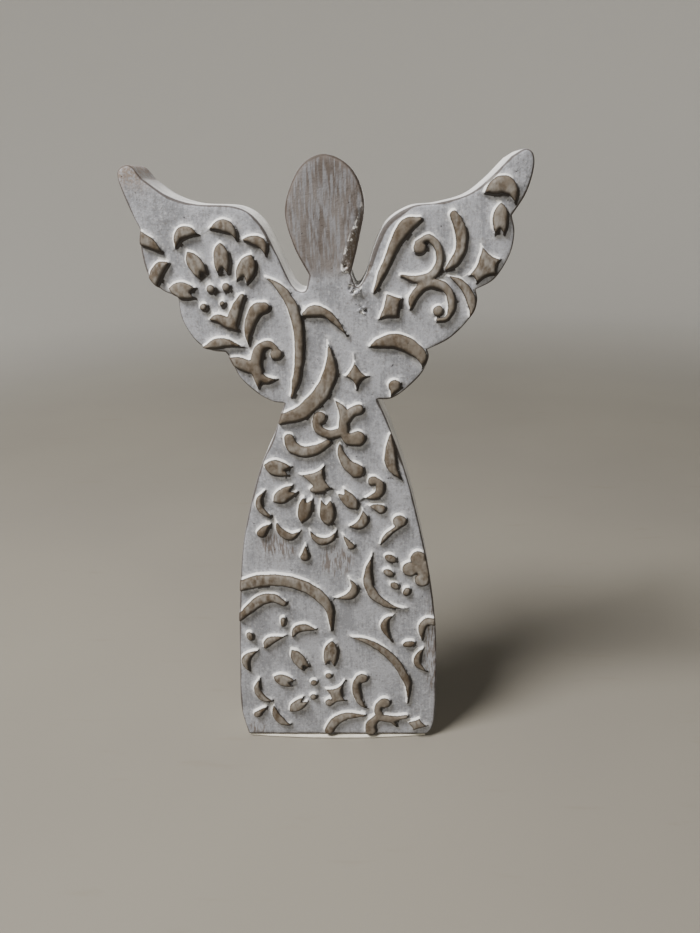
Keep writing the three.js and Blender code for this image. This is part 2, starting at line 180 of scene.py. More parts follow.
def petal(tip_x, tip_z, base_x, base_z, width):
    """A petal with a pointed tip, a belly, and a base split into two feet by a notch."""
    tip = np.array((tip_x, tip_z), float)
    axis = np.array((base_x, base_z), float) - tip
    side = np.array((-axis[1], axis[0])) / np.linalg.norm(axis) * width
    half = catmull_rom(PETAL_HALF, PETAL_SPAN_STEPS)
    right = [tip + along * axis - across * side for along, across in half]
    left = [tip + along * axis + across * side for along, across in half[:0:-1]]
    return "loop", np.array(right + [tip + PETAL_NOTCH * axis] + left)


def star(pinch, *corners):
    """Pointed corners, given anticlockwise, with sides that curve in by a share of their length."""
    loop = []
    for (x, z), (next_x, next_z) in zip(corners, corners[1:] + corners[:1]):
        inward = np.array((z - next_z, next_x - x))
        for t in np.arange(STAR_SIDE_STEPS) / STAR_SIDE_STEPS:
            straight = np.array((x + t * (next_x - x), z + t * (next_z - z)))
            loop.append(straight + inward * pinch * 4 * t * (1 - t))
    return "loop", np.array(loop)


def oval(x, z, half_width, half_height, turn=0):
    angles = np.arange(OVAL_SIDES) / OVAL_SIDES * 2 * math.pi
    across = half_width * np.cos(angles)
    up = half_height * np.sin(angles)
    cosine, sine = math.cos(turn), math.sin(turn)
    return "loop", np.column_stack([x + across * cosine - up * sine, z + across * sine + up * cosine])


def dot(x, z, radius):
    return oval(x, z, radius, radius)


# ---- the pattern ----
LEFT_WING = [
    band((-47.3, 173.9, 0), (-50.4, 176.7, 3), (-53.6, 178.6, 4)),  # leaf at the outer edge
    band((-46.9, 171.3, 1.6), (-49.4, 169.8, 3.8), (-51.8, 165.6, 3.6)),
    band((-43.7, 175.8, 0.6), (-42.6, 178.9, 3), (-40, 180.2, 3.4), (-36.3, 179, 0)),  # over the flower
    band((-33.4, 180.9, 0.5), (-29.6, 181.6, 3.8), (-27, 180.4, 3), (-25.6, 177, 0)),
    band((-23.8, 177.6, 0.5), (-20.6, 177.4, 3.2), (-18.2, 176, 3), (-17.5, 172.5, 0)),
    petal(-47.2, 164.3, -38.8, 162.6, 5.2),  # the flower's petals
    petal(-40.7, 175, -35.9, 166.9, 4.6),
    petal(-30.7, 177.4, -30.5, 167.6, 5),
    petal(-21.6, 173.8, -25.3, 165.2, 5.6),
    dot(-34.5, 163.7, 1.4),  # seeds
    dot(-29.8, 164.2, 1.4),
    dot(-37.1, 158.5, 1.2),
    dot(-31.4, 159.4, 1),
    band((-35.8, 154.8, 0.5), (-33, 155.1, 3), (-29.5, 153.4, 3.4), (-27.2, 151.3, 0.8)),  # under it
    band((-25.4, 161.4, 2), (-27.2, 158.4, 3.2), (-28.6, 154.8, 3.6), (-28.2, 152, 1.6)),
    band((-18.7, 158.2, 3.4), (-21.4, 157.3, 4.2), (-23.6, 153.4, 3.4), (-24.4, 149.5, 2),
         (-24.2, 145.7, 0)),
    band((-38.6, 146, 1.2), (-34, 147.6, 3.4), (-30.5, 147.7, 2.6), (-26, 146.3, 0)),
    dot(-16.1, 144, 2),
    band((-16.2, 145.8, 2), (-18.2, 147, 2.6), (-21, 145.9, 3.2), (-22.6, 141.5, 4),
         (-22.2, 137, 3.4), (-22.2, 133, 0)),  # scroll over the waist
    band((-30.4, 142.4, 2.2), (-27, 141.3, 4.2), (-22.6, 139.5, 4)),
    band((-22.4, 137.6, 3), (-19.5, 136, 2.6), (-16.3, 136.2, 0.6)),
    band((-18.3, 167.1, 0), (-14.4, 164.2, 2.6), (-11.2, 159.8, 3.4), (-9.4, 154, 3.6), (-9, 148.5, 3.3),
         (-9.3, 142.4, 2.9), (-10.5, 135.6, 2.6), (-12, 130.8, 1.4)),  # long stem beside the bodice
]

BODICE = [
    band((-6.9, 156.1, 2), (-4.2, 156.9, 3.8), (-1, 156.3, 3), (2, 153.8, 2.4), (5.6, 149.3, 0.4)),
    band((-0.4, 148.2, 0), (0.4, 142.6, 2.6), (0, 138, 4.6), (-2, 133, 5), (-5.6, 128.6, 5.2),
         (-9.8, 125.3, 4.8), (-16.4, 123.2, 3.4)),  # broad stem that crosses the waist
    star(0.16, (7.4, 143.8), (4.2, 136.9), (8.1, 132.2), (12.2, 136.6)),
    band((12.3, 146, 0.6), (15.6, 147, 3.4), (20, 147.5, 4.6), (24.4, 145.8, 4.8), (27.8, 142.8, 3.8),
         (28.3, 138.8, 0)),
    dot(19.7, 133.6, 2.1),
    star(0.05, (18.4, 129.6), (22.4, 132.9), (19.8, 135.6), (17.7, 133.8)),
]

RIGHT_WING = [
    band((27, 182, 1.8), (23.2, 180.4, 4.4), (20.4, 176.4, 3.6), (18.2, 171.6, 2.8), (15.9, 166.8, 2.4),
         (13.8, 162, 0.8)),  # long stem beside the neck
    star(0.05, (17.2, 162), (14.8, 153.8), (21, 154.4), (22.2, 160.2)),
    dot(27.1, 174.3, 2.1),  # upper scroll
    band((26.4, 175.6, 2), (29.6, 177, 2.6), (32.2, 174.6, 2.6), (33, 170.6, 2.6), (31.2, 166.8, 3),
         (26.8, 165.4, 2.6), (21.8, 166.6, 1)),
    dot(32.7, 156.1, 1.8),  # lower scroll
    band((24.6, 157, 1), (25.4, 160.4, 2.8), (28.2, 163.4, 2.8), (31.8, 164.2, 3.2), (35.3, 162.2, 2.8),
         (36.7, 158, 2.6), (35.4, 154.2, 1.8), (32.8, 153.6, 1.6)),
    band((36.6, 183.2, 2.8), (37.9, 180.8, 3.6), (39, 177.5, 3.8), (38.9, 173.6, 3.2), (37.2, 170.4, 3.2),
         (35, 168.3, 1.6)),
    band((45.2, 188.9, 0.6), (47.6, 190.2, 4), (50.2, 190.9, 5), (52.6, 189.5, 4), (54.1, 185.5, 0)),
    petal(49.8, 186.4, 49.9, 177, 4.6),
    star(0.12, (44.7, 175.4), (41.4, 166.4), (43.8, 163.7), (49.5, 166.3), (50.6, 170.6)),
    band((35.6, 166.3, 0.5), (39.3, 163.9, 2.6), (41.8, 160.4, 3.2), (42.8, 157, 2.6), (42, 153.6, 0)),
]

UPPER_GOWN = [
    dot(-3.7, 123.7, 2.3),  # scroll at the waist
    band((-4.8, 122.6, 3), (-3.9, 119.8, 3.2), (-0.8, 118.2, 3.2), (3, 118.8, 3.2)),
    band((1, 129.8, 0), (3.6, 126.2, 2.8), (3.8, 122, 3.2), (3.8, 118.6, 3.6)),
    band((8.5, 126.3, 3.8), (6.2, 125.2, 3.4), (4.4, 122.6, 3)),
    band((3.6, 118.5, 3.2), (5.4, 116.6, 4.2), (8.2, 116.8, 5.2)),
    band((-13.6, 117, 3.6), (-12.6, 114.2, 4.4), (-9, 112.5, 4), (-5, 113.4, 3.6), (-1.4, 115.5, 2.4)),
    band((2.3, 116.4, 0), (2.7, 112, 2.6), (4.6, 108.1, 4), (7.6, 105.8, 5.2)),
    band((18.6, 117.6, 1.4), (18.4, 112.4, 3.6), (18.7, 107.6, 3.8), (22.4, 101.9, 0)),
    star(0.14, (-11.6, 105), (-6.2, 97.8), (-0.3, 99.4), (-2.8, 108)),  # the flower's heart and petals
    oval(-4.9, 99.7, 3.2, 1.6, 0.1),
    petal(-22.4, 108.4, -13.6, 105.7, 5.6),
    petal(-20.2, 95.2, -12.4, 100, 5),
    petal(-11.1, 87.4, -8.4, 97, 4.8),
    petal(-2, 86.1, -2.7, 96.2, 5.2),
    petal(7.9, 92.2, 2, 99.2, 4.8),
    band((-22.7, 99.2, 0.6), (-24.6, 96, 2.2), (-24.2, 92.8, 2.6), (-21.6, 90.2, 1.6)),  # round it
    band((-21.5, 87.3, 0.4), (-23.3, 85.6, 2.6), (-24.6, 84, 3.4)),
    band((-19.5, 88.8, 0), (-18.2, 84.9, 2.8), (-14.8, 82.7, 3), (-11.3, 84.9, 0)),
    band((-8.6, 85.4, 0), (-6.6, 82, 2.4), (-4, 80.9, 3), (-1.3, 82, 2.2), (0.7, 85.4, 0)),
    band((9.2, 92.9, 0), (9.6, 89, 3.2), (8, 86.7, 3.4), (4.6, 86.2, 0)),
    dot(12.8, 102.2, 1.8),
    band((13.2, 102.8, 2.4), (14.9, 101, 3.2), (14.7, 98.2, 3.2), (12.7, 96.7, 2.4), (9.8, 96.4, 0)),
    band((11.2, 93.6, 0), (13.3, 93.1, 2.4), (15.2, 92.3, 3.6)),
    band((-10, 80.2, 0), (-10.4, 75.2, 3.4)),  # drops
    band((2.3, 83.6, 0), (5.1, 79, 3)),
    dot(21.3, 88, 2.4),
    band((20.9, 86, 1.8), (18.5, 84.2, 1.8), (16.4, 82, 1.8), (14.8, 79.4, 0.6)),
]

LOWER_GOWN = [
    dot(27.6, 74.3, 2.8),  # clover at the right edge
    dot(25, 70.3, 2.9),
    dot(29, 66.3, 2.8),
    dot(30, 70.4, 3.6),
    oval(18.4, 74.3, 2.4, 1.6, -0.5),
    oval(17.7, 68.9, 2.2, 1.5, -0.5),
    oval(19.7, 63.9, 1.9, 1.4, -0.6),
    oval(23.8, 61.6, 1.5, 1.9, -0.3),
    band((12.2, 76.4, 0), (10.7, 69, 3), (11.2, 63, 3.6), (14.2, 58.8, 3.4), (18.4, 56, 2),
         (24, 54.8, 0)),
    band((4, 67.4, 0), (5.9, 63.6, 2.6), (4.4, 60.2, 3.2), (-1, 59.2, 0)),
    band((-35, 63.4, 3.6), (-28.6, 65.6, 5), (-22.2, 66.5, 4.8), (-15.6, 65.5, 4.8), (-9.9, 63.2, 4.6),
         (-5.2, 59.2, 4.4), (-2.7, 54, 3), (-2.4, 46.3, 0.8)),  # broad stem across the gown
    band((-35.2, 50.8, 2.4), (-30.6, 55.2, 3.6), (-26.4, 58.6, 4.4), (-22.2, 59.4, 3.8),
         (-18.6, 57.4, 2.6)),
    oval(-19.1, 49.9, 1.2, 2.2, -0.1),
    oval(-31.1, 44.1, 1.4, 2.1, 0.2),
    band((-16, 44, 1), (-14.6, 46.6, 3.2), (-11.6, 47.5, 3.2), (-7.9, 46.8, 1)),
    band((-26, 39.6, 1.6), (-24.2, 42.3, 3.4), (-18.4, 44.2, 0)),
    band((-28.4, 38.4, 0), (-32, 36.3, 2.6), (-33.5, 33.4, 3), (-32.2, 29, 0)),
    petal(-16.9, 38.9, -11.6, 30, 4.8),  # the flower's petals
    petal(-2.3, 42.6, -3.5, 31.4, 5.4),
    petal(-24, 27.4, -16.5, 24, 5),
    petal(-18.9, 11.8, -12.6, 17.6, 4.6),
    dot(-4, 27.6, 1.4),  # seeds
    dot(-9.4, 24.6, 1.4),
    dot(-9.7, 18.5, 1.4),
    star(0.16, (-5.4, 21.9), (-4, 14), (2.4, 16.3), (1.7, 25.6)),
    dot(-4, 16, 1.7),
    band((-29, 26.6, 0.4), (-30, 22, 2.8), (-28.4, 18.2, 3), (-25.2, 16.6, 1)),
    band((-30.6, 10.9, 3.2), (-28.8, 12.6, 1.8), (-27, 14.2, 0)),
    band((-24.6, 15.8, 0), (-23.9, 11.2, 3), (-22, 7.8, 3.2), (-19, 6.2, 1)),
    dot(8, 26.4, 2.2),
    band((7, 26.8, 2.8), (5.8, 24, 3), (6, 20, 3.2), (7.2, 16.2, 2.6), (10, 12.9, 0)),
    band((-4.6, 3.6, 3.6), (-2.4, 7.4, 4), (1.8, 10.1, 3.6), (8.5, 10.4, 1.2)),
    dot(16, 15.8, 2.3),  # scroll at the hem
    band((15.4, 16.4, 3), (13.9, 14.8, 3), (13.5, 12.6, 3), (14.2, 10.3, 3.2)),
    band((13.5, 9.6, 3.4), (18.4, 8.8, 3.2), (23.6, 9.8, 1.8)),
    band((13.2, 9.6, 3), (10.9, 6.4, 4), (10.8, 3.4, 4.4)),
    band((18.4, 8.4, 2.6), (20.6, 4.8, 0.4)),
    star(0.05, (24, 7.4), (26.4, 3.4), (31.8, 5.4), (28.6, 9.2)),
    band((4, 43.8, 0), (10, 41.9, 2.4), (15.8, 38.1, 3.2), (20.4, 32.7, 3.4), (23.6, 26.4, 3.2),
         (24.4, 21.6, 2), (24.2, 15.6, 0.6)),
    band((19.5, 52.6, 0), (16.7, 50.4, 2.4), (16.3, 46.8, 2.8), (19, 41.1, 0)),
    band((34.8, 49.4, 3), (30.8, 49.8, 3.2), (29, 46.8, 2.8), (29.4, 41.6, 0)),
    oval(24.6, 40.8, 2.4, 1.5, 0.2),
    band((29.8, 39.3, 0), (28, 36.4, 2.4), (27.7, 32.6, 2.8), (31.5, 28.7, 0)),
]


# ---- distances on the front face, in millimetres ----
FAR = -2.5  # a point further than this outside every motif is just ground
OUTLINE_REACH = 6.0


def segment_distance(points, starts, ends):
    """The distance from each point to each segment, and how far along the segment the nearest place is."""
    span = ends - starts
    rel = points[:, None, :] - starts[None]
    along = np.clip((rel * span).sum(2) / np.maximum((span * span).sum(1), 1e-12), 0, 1)
    return np.linalg.norm(rel - along[..., None] * span, axis=2), along


def inside_segments(points, starts, ends):
    """Whether each point lies inside a closed loop, by counting the loop's segments to its right."""
    x, z = points[:, :1], points[:, 1:]
    crosses = (starts[:, 1] > z) != (ends[:, 1] > z)
    rise = np.where(ends[:, 1] == starts[:, 1], 1, ends[:, 1] - starts[:, 1])
    hit = starts[:, 0] + (z - starts[:, 1]) / rise * (ends[:, 0] - starts[:, 0])
    return (crosses & (x < hit)).sum(1) % 2 == 1


def depth_among(points, starts, ends):
    distance = segment_distance(points, starts, ends)[0].min(1)
    return np.where(inside_segments(points, starts, ends), distance, -distance)


def depth_in_loop(points, loop):
    return depth_among(points, loop, np.roll(loop, -1, axis=0))


def depth_in_band(points, spine):
    distance, along = segment_distance(points, spine[:-1, :2], spine[1:, :2])
    half_widths = np.maximum(spine[:-1, 2] + along * (spine[1:, 2] - spine[:-1, 2]), 0) / 2
    return (half_widths - distance).max(1)


def depth_in_pattern(points, motifs):
    """How far each point lies inside the nearest motif; negative outside."""
    depth = np.full(len(points), FAR)
    for kind, shape in motifs:
        reach = -FAR + (shape[:, 2].max() / 2 if kind == "band" else 0)
        low = shape[:, :2].min(0) - reach
        high = shape[:, :2].max(0) + reach
        near = np.flatnonzero(((points > low) & (points < high)).all(1))
        measure = depth_in_band if kind == "band" else depth_in_loop
        depth[near] = np.maximum(depth[near], measure(points[near], shape))
    return depth


def depth_in_outline(points, loop):
    """How far each point lies inside the outline; negative outside. It is exact up to a reach.

    The points are taken in level strips, each with only the part of the outline that is near it.
    """
    starts, ends = loop, np.roll(loop, -1, axis=0)
    low = np.minimum(starts[:, 1], ends[:, 1])
    high = np.maximum(starts[:, 1], ends[:, 1])
    strips = (points[:, 1] // OUTLINE_REACH).astype(int)
    depth = np.zeros(len(points))
    for strip in np.unique(strips):
        chosen = strips == strip
        near = (high > (strip - 1) * OUTLINE_REACH) & (low < (strip + 2) * OUTLINE_REACH)
        depth[chosen] = depth_among(points[chosen], starts[near], ends[near])
    return depth


# ---- the front face's height field ----
def smooth(value, low, high):
    t = np.clip((value - low) / (high - low), 0, 1)
    return t * t * (3 - 2 * t)


def relief_height(depth):
    wall = WALL_HEIGHT * smooth(depth, WALL_FOOT, WALL_TOP)
    dome = (RELIEF - WALL_HEIGHT) * np.sin(np.clip((depth - WALL_FOOT) / DOME_WIDTH, 0, 1) * math.pi / 2)
    return wall + dome


def rounded_edge(rim, radius):
    """How far a rounded edge falls back at a distance rim inside the outline."""
    inside = np.clip(radius - rim, 0, radius)
    return radius - np.sqrt(radius * radius - inside * inside)


def lumps(points, scale, seed):
    """Soft unevenness between about -1 and 1, with features of about scale millimetres."""
    return np.array([noise.noise(Vector((x / scale, z / scale, seed))) for x, z in points])


# Unevenness of the casting, as (height, size of its features, seed) layers.
MOTIF_EDGE = ((0.24, 3.2, 3), (0.08, 1.3, 4))
FRONT_FACE = ((0.1, 9, 1), (0.05, 2.2, 5))
ROUGH_FACE = ((1.3, 1.0, 21),)
BACK_FACE = ((0.05, 12, 9),)


def uneven(points, layers):
    return sum(height * lumps(points, size, seed) for height, size, seed in layers)


# ---- contour rows ----
def contour_points(field, xs, zs, level):
    """Where a gridded field crosses a level, on the grid's lines."""
    above = field - level
    found = []
    for first, second, axis in ((above[:-1], above[1:], 0), (above[:, :-1], above[:, 1:], 1)):
        i, j = np.nonzero((first > 0) != (second > 0))
        share = first[i, j] / (first[i, j] - second[i, j])
        x = xs[i] + (share * GRID if axis == 0 else 0)
        z = zs[j] + (share * GRID if axis == 1 else 0)
        found.append(np.column_stack([x, z]))
    return np.vstack(found)


def cells_round(x, z, size):
    """The cell of a square grid that holds a point, and then the eight round it."""
    column, row = int(x // size), int(z // size)
    return [(column + i, row + j) for i in (0, -1, 1) for j in (0, -1, 1)]


def thinned(points, spacing):
    """The points again, without those that lie nearer than the spacing to one already kept."""
    cells = {}
    kept = []
    for x, z in points:
        around = cells_round(x, z, spacing)
        near = [place for cell in around for place in cells.get(cell, ())]
        if all((x - a) ** 2 + (z - b) ** 2 >= spacing * spacing for a, b in near):
            cells.setdefault(around[0], []).append((x, z))
            kept.append((x, z))
    return np.array(kept).reshape(-1, 2)


def apart_from(points, others, spacing):
    """The points that lie further than the spacing from all the others."""
    taken = {cells_round(x, z, spacing)[0] for x, z in others}
    free = [(x, z) for x, z in points if taken.isdisjoint(cells_round(x, z, spacing))]
    return np.array(free).reshape(-1, 2)


def rim_rows(outline):
    """Rows of points that follow the outline, a little inside it."""
    rows = []
    for level in RIM_ROWS:
        row = outline - level * outward(outline)
        rows.append(thinned(row[depth_in_outline(row, outline) > level * RIM_ROOM], RIM_STEP))
    return np.vstack(rows)


def motif_rows(outline, motifs):
    """Rows of points along the walls and the domed tops of the motifs."""
    xs = np.arange(outline[:, 0].min(), outline[:, 0].max(), GRID)
    zs = np.arange(outline[:, 1].min(), outline[:, 1].max(), GRID)
    grid = np.stack(np.meshgrid(xs, zs, indexing="ij"), -1).reshape(-1, 2)
    pattern = cast_relief(grid, motifs).reshape(len(xs), len(zs))
    rows = [thinned(contour_points(pattern, xs, zs, level), ROW_STEP) for level in MOTIF_ROWS]
    points = np.vstack(rows)
    return points[depth_in_outline(points, outline) > RIM_ROWS[0] * MOTIF_ROOM]


def front_points(outline, motifs):
    """The points of the front face: rows along every wall and rim, and a loose fill between them."""
    rough = fill_points(outline, ROUGH_STEP)
    rough = rough[rough_share(rough) > 0]
    rows = np.vstack([rim_rows(outline), motif_rows(outline, motifs)])
    rows = np.vstack([rows, apart_from(rough, rows, ROUGH_STEP * APART)])
    return np.vstack([rows, apart_from(fill_points(outline, FILL_STEP), rows, FILL_STEP * APART)])


def fill_points(outline, step):
    """A shuffled triangular lattice of points inside the outline."""
    low, high = outline.min(0), outline.max(0)
    points = []
    for row, z in enumerate(np.arange(low[1], high[1], step * LATTICE_ROW)):
        for x in np.arange(low[0] + (row % 2) * step / 2, high[0], step):
            across = random.uniform(-LATTICE_JITTER, LATTICE_JITTER) * step
            up = random.uniform(-LATTICE_JITTER, LATTICE_JITTER) * step
            points.append((x + across, z + up))
    points = np.array(points)
    return points[depth_in_outline(points, outline) > step * FILL_ROOM]


def triangulated(outline, inner):
    """A flat triangle mesh inside the outline. The outline's points come first, in their order."""
    given = [Vector(p) for p in np.vstack([outline, inner])]
    count = len(outline)
    edges = [(i, (i + 1) % count) for i in range(count)]
    vertices, _, faces, sources, _, _ = delaunay_2d_cdt(given, edges, [list(range(count))], 1, SAME_POINT)
    place = {}
    for index, source in enumerate(sources):
        for original in source:
            place[original] = index
    order = [place[i] for i in range(count)]
    in_order = set(order)
    rest = [i for i in range(len(vertices)) if i not in in_order]
    renumber = {old: new for new, old in enumerate(order + rest)}
    points = np.array([vertices[i] for i in order + rest])
    return points, [[renumber[i] for i in face] for face in faces]


# ---- small irregularities of the casting, in millimetres ----
HEAD_BEVEL_WIDTH = 2.8  # the lower right edge of the head slants back
HEAD_BEVEL_DEPTH = 1.0
HEAD_BEVEL_SPAN = (166.5, 169.0, 173.0, 191.0)  # heights where it starts, is full, starts to end, ends
HEAD_BEVEL_SIDES = (2, 4, 12, 13)  # the same from left to right
HEAD_RIDGE_WIDTH = 0.5
HEAD_RIDGE_HEIGHT = 0.3
HEAD_RIDGE_LUMPS = ((0.35, 1.3, 14),)
HEAD_BEVEL_LEAST = 0.3
HEAD_BEVEL_WAVER = ((0.3, 3, 12),)
HEAD_BEVEL_ONSET = 3

# Rough patches where the casting is badly trimmed, as (x, z, radius).
ROUGH_PATCHES = [(8.2, 163.4, 2.8), (6.2, 168.6, 2.0), (10.4, 156.6, 1.6)]
ROUGH_STEP = 0.35

# Lumps and pits of the cast, as (x, z, radius, height).
BLEMISHES = [
    (6.1, 168.4, 1.3, 0.7),  # flash left beside the neck
    (6.9, 165.9, 1.0, 0.5),
    (9.4, 161.9, 1.5, 0.8),
    (7.4, 161.6, 1.1, 0.5),
    (10.6, 157.5, 0.7, 0.25),
    (10.3, 154.3, 0.8, 0.25),
    (-46.6, 183.5, 0.9, 0.4),  # a bubble on the left wing
    (14.6, 150.1, 0.5, 0.25),
    (-16.6, 48.4, 0.5, -0.5),  # pits
    (-15.2, 49.2, 0.4, -0.5),
    (-17.4, 46.8, 0.35, -0.4),
    (-8.4, 51.2, 0.35, -0.4),
    (8.2, 68.0, 0.35, -0.4),
    (2.2, 31.5, 0.4, -0.4),
    (28.2, 183.2, 0.4, -0.5),
    (-1.4, 160.4, 0.4, -0.4),
]


def cast_relief(points, motifs):
    """How far each point lies inside the pattern, with the uneven edges of a casting."""
    depth = depth_in_pattern(points, motifs)
    near = np.flatnonzero(depth > FAR / 2)
    depth[near] += uneven(points[near], MOTIF_EDGE)
    return depth


def bevel_share(points):
    """1 along the lower right edge of the head, where it slants back, and 0 elsewhere."""
    x, z = points[:, 0], points[:, 1]
    share = np.ones(len(points))
    for value, (start, full, fading, end) in ((z, HEAD_BEVEL_SPAN), (x, HEAD_BEVEL_SIDES)):
        share = share * smooth(value, start, full) * (1 - smooth(value, fading, end))
    return share


def head_bevel(points, rim):
    """How far the slanting edge of the head falls back, less the small lumpy ridge above it."""
    share = bevel_share(points)
    width = HEAD_BEVEL_LEAST + HEAD_BEVEL_WIDTH * share * (1 + uneven(points, HEAD_BEVEL_WAVER))
    slant = HEAD_BEVEL_DEPTH * np.clip(1 - rim / width, 0, 1)
    ridge = HEAD_RIDGE_HEIGHT + uneven(points, HEAD_RIDGE_LUMPS)
    ridge = ridge * np.exp(-(((rim - width) / HEAD_RIDGE_WIDTH) ** 2))
    return np.minimum(share * HEAD_BEVEL_ONSET, 1) * (slant - ridge)


def radii_from(points, x, z, radius):
    """How many radii each point lies from a place."""
    return np.hypot(points[:, 0] - x, points[:, 1] - z) / radius


def rough_share(points):
    """1 in the middle of a rough patch, fading to 0 at its edge."""
    share = np.zeros(len(points))
    for x, z, radius in ROUGH_PATCHES:
        share = np.maximum(share, smooth(radii_from(points, x, z, radius), 1, 0.5))
    return share


def blemish_height(points):
    height = np.zeros(len(points))
    for x, z, radius, rise in BLEMISHES:
        height += rise * np.exp(-radii_from(points, x, z, radius) ** 2)
    return height


def front_y(points, relief, rim):
    """The front face's depth at each point."""
    rough = rough_share(points) * uneven(points, ROUGH_FACE)
    raised = relief_height(relief) + uneven(points, FRONT_FACE) + blemish_height(points) + rough
    return GROUND_Y - raised + rounded_edge(rim, EDGE_ROUND) + head_bevel(points, rim)


# ---- the casting's mesh ----
SIDE_WANDER = 0.12  # how far the side faces wander in and out
SIDE_WANDER_SIZE = 3
BACK_RIM_REACH = 2.5  # the back's edge wear is followed this far in


def upright(points, y):
    """Points given as [x, z], with their depths y between."""
    return np.column_stack([points[:, 0], y, points[:, 1]])


def side_ring(outline, share, front, back):
    """The outline's points at a share of the way from the front edge to the back edge."""
    y = front + share * (back - front)
    places = np.column_stack([outline, y]) / SIDE_WANDER_SIZE
    wobble = np.array([noise.noise(Vector(place)) for place in places])
    flat = outline + outward(outline) * (SIDE_WANDER * wobble * math.sin(math.pi * share))[:, None]
    return upright(flat, y)


def bridge(first, second, count):
    """Quads between two rings of a closed loop."""
    return [(first + i, first + (i + 1) % count, second + (i + 1) % count, second + i) for i in range(count)]


def inside_rim(points, outline):
    """How far each point of a face lies inside its outline, whose own points come first."""
    rim = np.maximum(depth_in_outline(points, outline), 0)
    rim[:len(outline)] = 0
    return rim


def front_face(outline, motifs):
    """The front's points and triangles, and its fields as name: (values, value behind the front)."""
    face, triangles = triangulated(outline, front_points(outline, motifs))
    relief = cast_relief(face, motifs)
    rim = inside_rim(face, outline)
    front = np.ones(len(face))
    front[:len(outline)] = 0.5
    fields = {"front": (front, 0), "relief": (relief, FAR), "rim": (rim, 0),
              "bevel": (bevel_share(face), 0), "rough": (rough_share(face), 0)}
    return upright(face, front_y(face, relief, rim)), triangles, fields


def back_face(outline):
    """The back's points and triangles, and how far each point lies inside its edge."""
    fill = np.vstack([rim_rows(outline), fill_points(outline, BACK_FILL_STEP)])
    back, triangles = triangulated(outline, fill)
    rim = inside_rim(back, outline)
    y = BACK_Y - rounded_edge(rim, BACK_ROUND) - np.abs(uneven(back, BACK_FACE))
    return upright(back, y), triangles, rim


def casting():
    outline = outline_loop(OUTLINE_STEP)
    count = len(outline)
    motifs = LEFT_WING + BODICE + RIGHT_WING + UPPER_GOWN + LOWER_GOWN
    front, front_triangles, fields = front_face(outline, motifs)
    back, back_triangles, back_rim = back_face(outline)
    rings = [side_ring(outline, share, front[:count, 1], back[:count, 1]) for share in SIDE_ROWS]
    blocks = [front] + rings + [back]
    starts = np.cumsum([0] + [len(block) for block in blocks]).tolist()
    faces = [tuple(triangle) for triangle in front_triangles]
    for first, second in zip(starts[:-2], starts[1:-1]):
        faces += [tuple(reversed(quad)) for quad in bridge(first, second, count)]
    faces += [tuple(starts[-2] + i for i in reversed(triangle)) for triangle in back_triangles]

    piece = mesh_piece("carved_casting", np.vstack(blocks), faces)
    for name, (values, rest) in fields.items():
        add_field(piece, name, padded_field(values, starts[-1], rest))
    back_edge = np.full(starts[-1], BACK_RIM_REACH)
    back_edge[starts[-2]:] = np.minimum(back_rim, BACK_RIM_REACH)
    add_field(piece, "back_rim", back_edge)
    return piece


def padded_field(values, total, rest):
    """The front face's values, with a rest value for every point behind them."""
    field = np.full(total, float(rest))
    field[:len(values)] = values
    return field


def mesh_piece(name, points, faces):
    """A smooth-shaded object from points in millimetres."""
    mesh = bpy.data.meshes.new(name)
    mesh.from_pydata((points * MM).tolist(), [], faces)
    mesh.validate()
    mesh.shade_smooth()
    piece = bpy.data.objects.new(name, mesh)
    bpy.context.scene.collection.objects.link(piece)
    return piece


def add_field(piece, name, values):
    field = piece.data.attributes.new(name, "FLOAT", "POINT")
    field.data.foreach_set("value", np.asarray(values, np.float32))


# ---- the pad ----
PAD_BOW = 1.7  # how far the middle of its front edge bows out, in millimetres
PAD_CORNER = 2.0
PAD_ROUND = 0.3
PAD_STEP = 0.8
PAD_WANDER = 0.08  # how far its edge wanders inwards
PAD_WANDER_SIZE = 2
PAD_BOW_POINTS = 9
PAD_SPAN_STEPS = 8


def pad_loop():
    """The pad's outline seen from above, anticlockwise, as [x, y]."""
    left, right = pad_low.x / MM, pad_high.x / MM
    back, middle = pad_high.y / MM, pad_low.y / MM
    ends = middle + PAD_BOW
    shares = np.linspace(0, 1, PAD_BOW_POINTS)
    bow = [(left + (right - left) * t, ends - 4 * PAD_BOW * t * (1 - t)) for t in shares]
    turn = PAD_CORNER * (1 - math.sqrt(0.5))
    corner_right = [(right, back - PAD_CORNER), (right - turn, back - turn), (right - PAD_CORNER, back)]
    corner_left = [(left + PAD_CORNER, back), (left + turn, back - turn), (left, back - PAD_CORNER)]
    sides = [
        catmull_rom(bow, PAD_SPAN_STEPS),
        np.array([bow[-1], corner_right[0]]),
        catmull_rom(corner_right, PAD_SPAN_STEPS),
        np.array([corner_right[-1], corner_left[0]]),
        catmull_rom(corner_left, PAD_SPAN_STEPS),
        np.array([corner_left[-1], bow[0]]),
    ]
    return np.vstack([resample(side, PAD_STEP) for side in sides])


